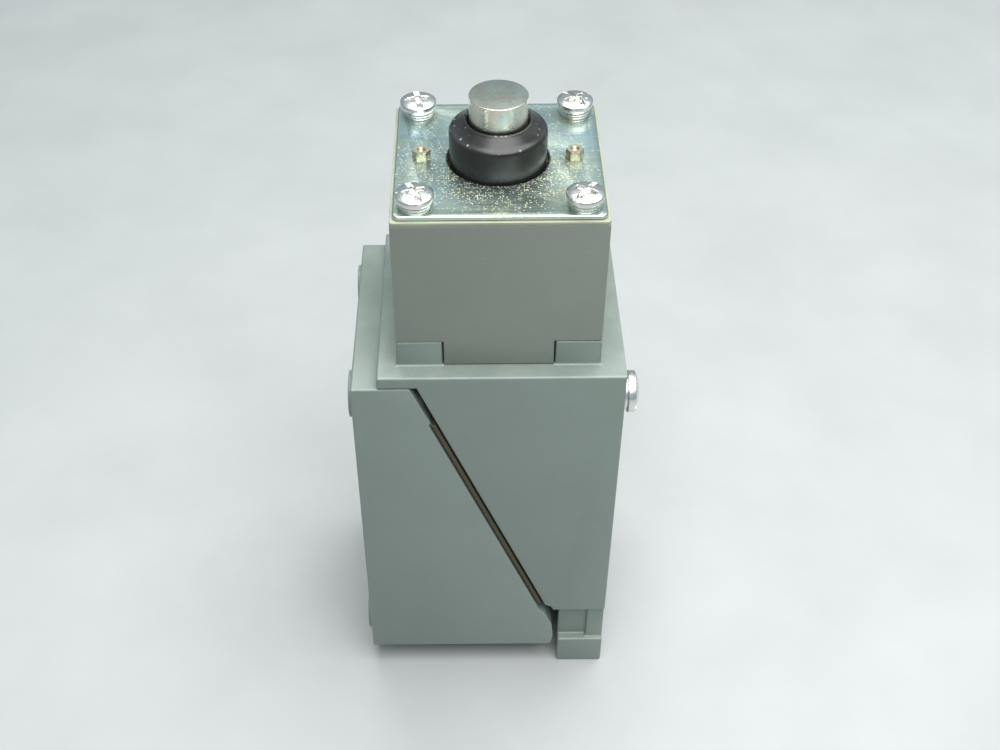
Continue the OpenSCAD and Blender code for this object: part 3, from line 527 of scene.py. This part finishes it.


# the third colour of each enamel is its lighter edge colour: scuffed paint and a painted highlight
FINISH = {
    "casting_paint": enamel("casting_paint", (0.158, 0.192, 0.172), (0.52, 0.57, 0.53)),
    "head_paint": enamel("head_paint", (0.160, 0.182, 0.156), (0.50, 0.52, 0.46)),
    "zinc_plate": speckled_zinc("zinc_plate", (0.48, 0.63, 0.64), (0.60, 0.66, 0.54), 0.27),
    "zinc_steel": zinc("zinc_steel", (0.74, 0.74, 0.74), (0.67, 0.66, 0.62), 0.24, 0.1),
    "turned_steel": turned("turned_steel", (0.60, 0.58, 0.49), (0.44, 0.52, 0.50), 0.25),
    "brass_part": turned("brass_part", (0.54, 0.50, 0.38), (0.36, 0.32, 0.22), 0.36),
    "plated_copper": turned("plated_copper", (0.72, 0.55, 0.33), (0.5, 0.34, 0.18), 0.32),
    "spring_steel": turned("spring_steel", (0.55, 0.55, 0.57), (0.36, 0.35, 0.34), 0.28),
    "green_steel": enamel("green_steel", (0.03, 0.24, 0.08), (0.35, 0.5, 0.38)),
    "blank_plate": zinc("blank_plate", (0.50, 0.51, 0.50), (0.44, 0.45, 0.43), 0.34, 0.0),
    "black_rubber": rubber("black_rubber", (0.012, 0.012, 0.012), 0.7, 0.30),
    "gasket_sheet": moulded("gasket_sheet", (0.050, 0.041, 0.018), 0.6),
    "tan_sheet": moulded("tan_sheet", (0.26, 0.27, 0.20), 0.4),
    "phenolic_black": moulded("phenolic_black", (0.028, 0.028, 0.030), 0.42),
    "nylon_cream": moulded("nylon_cream", (0.60, 0.55, 0.43), 0.45),
}
SLOT_OF = {part["node"]: part["material_slot"] for part in frame["record"]["subparts"]}
BODY_OF = {node: body for body, nodes in frame["record"]["behaviour"]["bodies"].items() for node in nodes}


def stand_for(name, mesh, node):
    """A piece that takes its CAD node's body, slot and finish."""
    slot = SLOT_OF[node]
    return piece(name, mesh, FINISH[slot], node, BODY_OF[node])


# ---- castings and moulded blocks: merged copies with rounded edges ----

ROUNDED = {
    "receptacle_housing": ("receptacle_casting", 0.38),
    "switch_housing": ("switch_casting", 0.38),
    "head_housing": ("head_casting", 0.32),
    "name_plate": ("blank_name_plate", 0.15),
    "terminal_block": ("terminal_moulding", 0.3),
    "contact_block_base": ("contact_base_moulding", 0.3),
    "contact_block_cover": ("contact_cover_moulding", 0.3),
    "terminal_strips": ("terminal_strip_set", 0.1),
    "terminal_clamps": ("terminal_clamp_set", 0.12),
    "closed_contacts": ("closed_contact_set", 0.1),
    "open_contacts": ("open_contact_set", 0.1),
    "contact_bridge": ("moving_bridge", 0.1),
    "contact_carrier": ("bridge_carrier", 0.2),
    "ground_screw": ("green_ground_screw", 0.2),
    "joint_gasket": ("pressed_joint_gasket", 0.08),
    "plate_gasket": ("tan_plate_gasket", 0.12),
}
for cad_node, (title, width) in ROUNDED.items():
    bevelled(stand_for(title, rounded_copy(title, cad_node, width * MM), cad_node), width * MM)


# ---- the top plate ----

def make_top_plate():
    """Pressed plate: the CAD outline with its upper rim drawn down in a soft roll."""
    width = 0.45 * MM
    mesh = rounded_copy("pressed_top_plate", "top_plate", width, fine=0.3 * MM)
    bevelled(stand_for("pressed_top_plate", mesh, "top_plate"), width, 4)


make_top_plate()


# ---- boot, plunger and other round pieces ----

def make_boot():
    """Boot: a clamped flange, a straight skirt, a rounded rim and a shoulder that rises to the neck."""
    wall = 1.3 * MM
    neck = PLUNGER_R + 0.06 * MM
    top = boot_high[2]
    rim = PLATE_TOP + 5.4 * MM
    outline = [
        (neck + wall, boot_low[2]), (BOOT_R + BOOT_FLANGE, boot_low[2]), (BOOT_R + BOOT_FLANGE, HEAD_TOP),
        (BOOT_R - 0.1 * MM, HEAD_TOP), (BOOT_R - 0.12 * MM, PLATE_TOP + 0.6 * MM),
        (BOOT_R, PLATE_TOP + 2.0 * MM),
        (BOOT_R, rim), (BOOT_R - 0.9 * MM, rim + 0.45 * MM), (neck + 0.95 * MM, top - 0.25 * MM),
        (neck + 0.75 * MM, top), (neck + 0.35 * MM, top), (neck, top - 0.8 * MM),
        (neck, rim - 0.4 * MM), (neck + wall, rim - 1.2 * MM), (neck + wall, boot_low[2]),
    ]
    radii = np.array([0, 0.3, 0.3, 0.1, 0.5, 1.0, 0.55, 0.3, 0.5, 0.25, 0.25, 0.3, 0.4, 0.5, 0]) * MM
    mesh = surface("rubber_boot", [revolve(rounded(outline, radii, 7), 128)], crease=60)
    made = stand_for("rubber_boot", mesh, "plunger_boot")
    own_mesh(made)


def make_plunger():
    """Plunger: a turned rod with a crisp rim, a slightly domed tip, a clip groove and a blind bore."""
    r, top, bottom = PLUNGER_R, plunger_high[2], plunger_low[2]
    clip_low, clip_high = span("retaining_clip")
    bore_r = 2.1 * MM
    groove_r = r - 0.9 * MM
    bore_top = span("overtravel_spring")[1][2]
    dome = 0.2 * MM
    rise = np.linspace(0, 1, 14)[:, None]
    tip = np.hstack([(r - 0.12 * MM) * rise, top - dome * rise ** 2])
    body = rounded([
        tip[-1], (r, top - dome - 0.02 * MM), (r, top - dome - 0.25 * MM), (r, clip_high[2]),
        (groove_r, clip_high[2]), (groove_r, clip_low[2]), (r, clip_low[2]), (r, bottom),
        (bore_r, bottom), (bore_r, bore_top), (0, bore_top)],
        np.array([0, 0.12, 0, 0.05, 0.05, 0.05, 0.05, 0.4, 0.3, 0.1, 0]) * MM, 5)
    rod = revolve(np.concatenate([tip[:-1], body]), 128)
    stand_for("turned_plunger", surface("turned_plunger", [rod], crease=50), "plunger")


def screw_grid(head_r, head_h, shank_r, length, turn, slot_w, cross, dome=3.2):
    """A pan head and shank as one grid of radius by angle. The top is a dome with a rolled rim, and the
    recess is a depth taken off where the point lies inside the slot or the tapered cross."""
    angle = np.linspace(0, 2 * math.pi, 184, endpoint=False)
    share = np.linspace(0, 1, 66)[:, None]
    r = head_r * 0.985 * share
    z = head_h * (1 - 0.36 * share ** dome) + 0 * angle
    x, y = r * np.cos(angle - turn), r * np.sin(angle - turn)
    soft = 0.20 * MM

    def inside(across, along, half, reach):
        """1 inside a bar of the given half width and reach, falling smoothly to 0 at its edges."""
        near = np.clip((half - np.abs(across)) / soft, 0, 1)
        depth = near * np.clip((reach - np.abs(along)) / soft, 0, 1)
        return depth * depth * (3 - 2 * depth)

    slot = inside(x, y, slot_w / 2, 2 * head_r) * head_h * 0.46
    if cross:
        reach = 0.62 * head_r
        taper = np.clip(1 - np.hypot(x, y) / reach, 0, 1)
        arms = np.maximum(inside(x, y, slot_w * 0.5, reach), inside(y, x, slot_w * 0.5, reach))
        slot = np.maximum(slot, arms * head_h * (0.40 + 0.42 * taper))
    z = z - slot
    top = np.stack([r * np.cos(angle), r * np.sin(angle), z], -1)
    outline = [(head_r, head_h * 0.6), (head_r, 0.0), (shank_r, 0.0), (shank_r, -length + 0.3 * MM),
               (shank_r - 0.3 * MM, -length), (0, -length)]
    side = rounded(outline, np.array([0, 0.12, 0.1, 0.1, 0.1, 0]) * MM, 4)
    lower_r, lower_z = side[:, :1], side[:, 1:]
    lower = np.stack([lower_r * np.cos(angle), lower_r * np.sin(angle), lower_z + 0 * angle], -1)
    return np.concatenate([top, lower])


def placed(grid, spot, turn=Matrix.Identity(3)):
    """The grid turned and then moved."""
    return grid @ np.array(turn).T + np.asarray(spot)


FORWARD = Matrix.Rotation(math.radians(90), 3, "Y")   # turns +Z to +X


def make_head_screws():
    """Four pan heads, each stopped at its own angle when it was done up."""
    turns = {(-1, -1): 0.35, (1, -1): -0.55, (-1, 1): 0.15, (1, 1): 0.6}
    low = span("head_screws")[0][2]
    seat = PLATE_TOP + WASHER_T
    grids = [placed(screw_grid(HEAD_SCREW_R, 1.4 * MM, 1.4 * MM, seat - low, turn, 1.05 * MM, True),
                    AXIS + np.array([sx * SCREW_REACH[0], sy * SCREW_REACH[1], seat]))
             for (sx, sy), turn in turns.items()]
    stand_for("pan_head_screws", surface("pan_head_screws", grids, crease=65), "head_screws")


def make_captive_screw():
    """One slotted pan head with its shank reaching back into the insert."""
    low, high = span("captive_screw")
    face = span("captive_washer")[1][0]
    y, z = (low[1:] + high[1:]) / 2
    screw = screw_grid(CAPTIVE_R, high[0] - face, 1.95 * MM, face - low[0], 0.2, 1.1 * MM, False, 2.2)
    grid = placed(screw, (face, y, z), FORWARD)
    stand_for("captive_pan_screw", surface("captive_pan_screw", [grid], crease=65), "captive_screw")


def split_washer(inner, outer, height, gap=0.16):
    """A split ring: a rounded section carried round a little less than a turn, with a gap."""
    angle = np.linspace(gap, 2 * math.pi - gap, 60)
    section = rounded([(inner, 0.0), (outer, 0.0), (outer, height), (inner, height), (inner, 0.0)],
                      np.array([0, 0.12, 0.12, 0.12, 0]) * MM, 3)[:-1]
    r, z = section[:, 0][None], section[:, 1][None] + 0 * angle[:, None]
    ring = np.stack([r * np.cos(angle)[:, None], r * np.sin(angle)[:, None], z + 0 * r], -1)
    centre = ring.mean(axis=1, keepdims=True)
    return np.concatenate([np.repeat(centre[:1], ring.shape[1], 1), ring,
                           np.repeat(centre[-1:], ring.shape[1], 1)])


def make_lock_washers():
    """Each lock washer is a spring ring of three thin coils."""
    coil_t = WASHER_T / 3 - 0.06 * MM
    grids = []
    for k, (sx, sy) in enumerate(((-1, -1), (1, -1), (-1, 1), (1, 1))):
        for layer in range(3):
            spin = Matrix.Rotation(0.7 * k + 0.3, 3, "Z")
            spot = AXIS + np.array([sx * SCREW_REACH[0], sy * SCREW_REACH[1],
                                    PLATE_TOP + layer * WASHER_T / 3])
            grids.append(placed(split_washer(1.55 * MM, (2.56 + 0.04 * layer) * MM, coil_t), spot, spin))
    stand_for("head_lock_washers", surface("head_lock_washers", grids), "lock_washers")
    low, high = span("captive_washer")
    y, z = (low[1:] + high[1:]) / 2
    grid = placed(split_washer(2.1 * MM, CAPTIVE_R - 0.5 * MM, high[0] - low[0]), (low[0], y, z), FORWARD)
    stand_for("captive_lock_washer", surface("captive_lock_washer", [grid]), "captive_washer")


def make_small_screws():
    """The terminal, holding and contact block screws, all with the same pan head."""
    low, high = span("terminal_screws")
    strips_low, strips_high = span("terminal_strips")
    head_r = 2.6 * MM
    ys = sorted({round((strips_low[1] + STRIP_HALF) / MM, 2), -INNER_ROW, INNER_ROW,
                 round((strips_high[1] - STRIP_HALF) / MM, 2)})
    zs = (low[2] + head_r, high[2] - head_r)
    face = high[0] - 1.7 * MM
    outer_row = 8.0   # a screw farther out than this stands in the upper row, in mm
    grids = [placed(screw_grid(head_r, 1.7 * MM, 1.5 * MM, face - low[0], 0.3 * k, 0.9 * MM, False),
                    (face, y * MM, zs[1] if abs(y) > outer_row else zs[0]), FORWARD)
             for k, y in enumerate(ys)]
    stand_for("terminal_screw_set", surface("terminal_screw_set", grids, crease=40), "terminal_screws")
    low, high = span("terminal_block_screws")
    face, z = high[0] - 1.6 * MM, (low[2] + high[2]) / 2
    y = (high[1] - low[1]) / 2 - 2.4 * MM
    grids = [placed(screw_grid(2.4 * MM, 1.6 * MM, 1.25 * MM, face - low[0], 0.5 * s, 0.8 * MM, False),
                    (face, s * y, z), FORWARD) for s in (-1, 1)]
    stand_for("terminal_holding_screws", surface("terminal_holding_screws", grids, crease=40),
              "terminal_block_screws")
    low, high = span("block_screws")
    x, y = (low[0] + high[0]) / 2, (high[1] - low[1]) / 2 - 2.3 * MM
    face = low[2] + 1.5 * MM
    down = Matrix.Rotation(math.pi, 3, "X")
    grids = [placed(screw_grid(2.3 * MM, 1.5 * MM, 1.25 * MM, high[2] - face, 0.4 * s, 0.7 * MM, True),
                    (x, s * y, face), down) for s in (-1, 1)]
    stand_for("contact_block_screws", surface("contact_block_screws", grids, crease=40), "block_screws")


def make_studs():
    """Small hexagon heads: the radius follows a hexagon up the flats and a cone across the corners."""
    low, high = span("plate_studs")
    flat, height = 1.3 * MM, high[2] - PLATE_TOP
    angle = np.linspace(0, 2 * math.pi, 72, endpoint=False)
    hexagon = flat / np.cos((angle % (math.pi / 3)) - math.pi / 6)
    rows = []
    for share, z in ((0.0, height - 0.5 * MM), (0.30, height - 0.42 * MM), (0.56, height)):
        rows.append((share * flat * np.ones_like(angle), z))
    rows.append((np.minimum(hexagon, flat * 0.99), height))
    rows.append((np.minimum(hexagon, flat * 1.06), height - 0.1 * MM))
    rows.append((hexagon, height - 0.3 * MM))
    rows.append((hexagon, 0.0))
    for r in (0.9 * MM, 0.9 * MM, 0.0):
        rows.append((r * np.ones_like(angle), 0.0 if len(rows) == 7 else low[2] - PLATE_TOP))
    grid = np.stack([np.stack([r * np.cos(angle), r * np.sin(angle), z + 0 * angle], -1)
                     for r, z in rows])
    reach = (high[0] - low[0]) / 2 - 1.5 * MM
    grids = [placed(grid, AXIS + np.array([s * reach, 0, PLATE_TOP])) for s in (-1, 1)]
    stand_for("hex_studs", surface("hex_studs", grids, crease=25), "plate_studs")


def coil(node, wire_r, mean_r, turns):
    """A spring: a helix whose pitch eases off over the first and last turn, so that its ends lie flat."""
    low, high = span(node)
    t = np.linspace(0, 1, int(36 * turns))
    flat = 0.75 / turns
    climb = np.clip((t - flat) / (1 - 2 * flat), 0, 1)
    climb = climb * (1 - 0.12) + 0.12 * t
    angle = 2 * math.pi * turns * t
    z = low[2] + wire_r + (high[2] - low[2] - 2 * wire_r) * climb
    path = np.stack([AXIS[0] + mean_r * np.cos(angle), AXIS[1] + mean_r * np.sin(angle), z], -1)
    return sweep(path, wire_r)


def make_springs():
    """Three coils: node, name, wire radius, mean radius, turns, joint, which end stays and travel."""
    table = (("return_spring", "return_coil", 0.5, 6.35, 5.0, "plunger_push", 0, PLUNGER_TRAVEL),
             ("overtravel_spring", "overtravel_coil", 0.3, 1.4, 7.0, "plunger_push", 1,
              PLUNGER_TRAVEL - CONTACT_TRAVEL),
             ("contact_spring", "contact_coil", 0.3, 1.9, 5.5, "contact_travel", 0, CONTACT_TRAVEL))
    for node, title, wire, mean, turns, joint, end, travel in table:
        mesh = surface(title, [coil(node, wire * MM, mean * MM, turns)])
        made = stand_for(title, mesh, node)
        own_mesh(made)


def make_rings():
    """Seals, bushing, seat and pin: profiles with rounded corners carried round the axis."""
    seal = span("stem_seal")
    pin = span("transfer_pin")
    bush = span("guide_bushing")
    seat = span("spring_seat")
    ring = span("head_seal_ring")

    def tube(name, node, inner, corners, fillet):
        """A ring with rounded corners that fills the height and width of its node."""
        outer = (corners[1][0] - corners[0][0]) / 2
        low, high = corners[0][2], corners[1][2]
        outline = [(inner, (low + high) / 2), (inner, low), (outer, low), (outer, high), (inner, high),
                   (inner, (low + high) / 2)]
        radii = [0, fillet, fillet, fillet, fillet, 0]
        stand_for(name, surface(name, [revolve(rounded(outline, radii, 4), 96)], crease=50), node)

    tube("stem_seal_ring", "stem_seal", 2.06 * MM, seal, 0.5 * MM)
    tube("plunger_bushing", "guide_bushing", PLUNGER_R + 0.04 * MM, bush, 0.3 * MM)
    tube("return_spring_seat", "spring_seat", PLUNGER_R + 0.02 * MM, seat, 0.25 * MM)
    r = (pin[1][0] - pin[0][0]) / 2
    outline = [(0, pin[0][2]), (r, pin[0][2]), (r, pin[1][2]), (0, pin[1][2])]
    profile = rounded(outline, np.array([0, 0.4, 0.6, 0]) * MM, 5)
    stand_for("nylon_transfer_pin", surface("nylon_transfer_pin", [revolve(profile, 64)], crease=50),
              "transfer_pin")
    a = np.linspace(0, 2 * math.pi, 24, endpoint=False)
    thick = (ring[1][2] - ring[0][2]) / 2
    middle = (ring[1][0] - ring[0][0]) / 2 - thick
    level = (ring[0][2] + ring[1][2]) / 2
    section = np.stack([middle + thick * np.cos(a), level + thick * np.sin(a)], -1)
    stand_for("head_seal_cord", surface("head_seal_cord", [revolve(section, 96)], closed=True),
              "head_seal_ring")


make_boot()
make_plunger()
make_head_screws()
make_captive_screw()
make_lock_washers()
make_small_screws()
make_studs()
make_springs()
make_rings()

# ---- what is left of the CAD nodes keeps its shape and takes its finish ----

for title, holder in frame["nodes"].items():
    if not holder.hide_render:
        holder.data.materials.clear()
        holder.data.materials.append(FINISH[SLOT_OF[title]])


# ---- floor, light and camera ----

def pale_material():
    """A plain pale floor with a barely visible cloud."""
    made, tree, shader = start("pale_floor", Roughness=0.6)
    where = add(tree, "ShaderNodeTexCoord").outputs["Object"]
    cloud = ramp(tree, noise(tree, where, 30.0, 4.0), 0.3, 0.7)
    base = mix(tree, cloud, (0.31, 0.32, 0.32), (0.34, 0.35, 0.35))
    tree.links.new(base, shader.inputs["Base Color"])
    return made


def make_floor():
    """A plain flat floor, wide enough to fill the view."""
    reach = 3.0
    mesh = bpy.data.meshes.new("studio_floor")
    mesh.from_pydata([(-reach, -reach, 0), (reach, -reach, 0), (reach, reach, 0), (-reach, reach, 0)], [],
                     [(0, 1, 2, 3)])
    made = bpy.data.objects.new("studio_floor", mesh)
    mesh.materials.append(pale_material())
    bpy.context.scene.collection.objects.link(made)


def area_light(name, spot, aim, size, watts, colour=(1.0, 1.0, 1.0)):
    """A rectangular soft light at a spot, facing its aim."""
    data = bpy.data.lights.new(name, "AREA")
    data.shape = "RECTANGLE"
    data.size, data.size_y = size
    data.energy = watts
    data.color = colour
    made = bpy.data.objects.new(name, data)
    made.location = spot
    made.rotation_mode = "QUATERNION"
    made.rotation_quaternion = (Vector(aim) - Vector(spot)).to_track_quat("-Z", "Y")
    bpy.context.scene.collection.objects.link(made)


def make_lights():
    """A dim cool room, a broad panel overhead and a weak warm one in front."""
    world = bpy.data.worlds.new("soft_room")
    world.use_nodes = True
    room = world.node_tree.nodes["Background"]
    room.inputs["Color"].default_value = (0.56, 0.72, 0.80, 1.0)
    room.inputs["Strength"].default_value = 0.50
    bpy.context.scene.world = world
    area_light("ceiling_panel", (0.12, -0.12, 0.70), (0.12, -0.12, 0.0), (0.6, 1.0), 15.0, (1.0, 1.0, 0.98))
    area_light("front_panel", (-0.30, -0.85, 0.40), (0.0, 0.0, 0.06), (0.5, 0.5), 0.6, (1.0, 0.98, 0.94))


def make_camera():
    """The eye stands in front and above, looking down at 43.5 degrees with a slight roll."""
    data = bpy.data.cameras.new("eye")
    data.lens, data.sensor_width = 47.99, 36.0
    data.shift_x, data.shift_y = 0.0281, 0.0378
    data.clip_start, data.clip_end = 0.01, 20.0
    made = bpy.data.objects.new("eye", data)
    look_down, roll, swing = math.radians(43.497), math.radians(0.512), math.radians(0.065)
    turn = (Matrix.Rotation(swing, 4, "Z") @ Matrix.Rotation(math.pi / 2 - look_down, 4, "X")
            @ Matrix.Rotation(-roll, 4, "Z"))
    made.matrix_world = Matrix.Translation((0.00266, -0.1866, 0.2285)) @ turn
    bpy.context.scene.collection.objects.link(made)
    bpy.context.scene.camera = made


make_floor()
make_lights()
make_camera()
bpy.context.scene.view_settings.view_transform = "Standard"
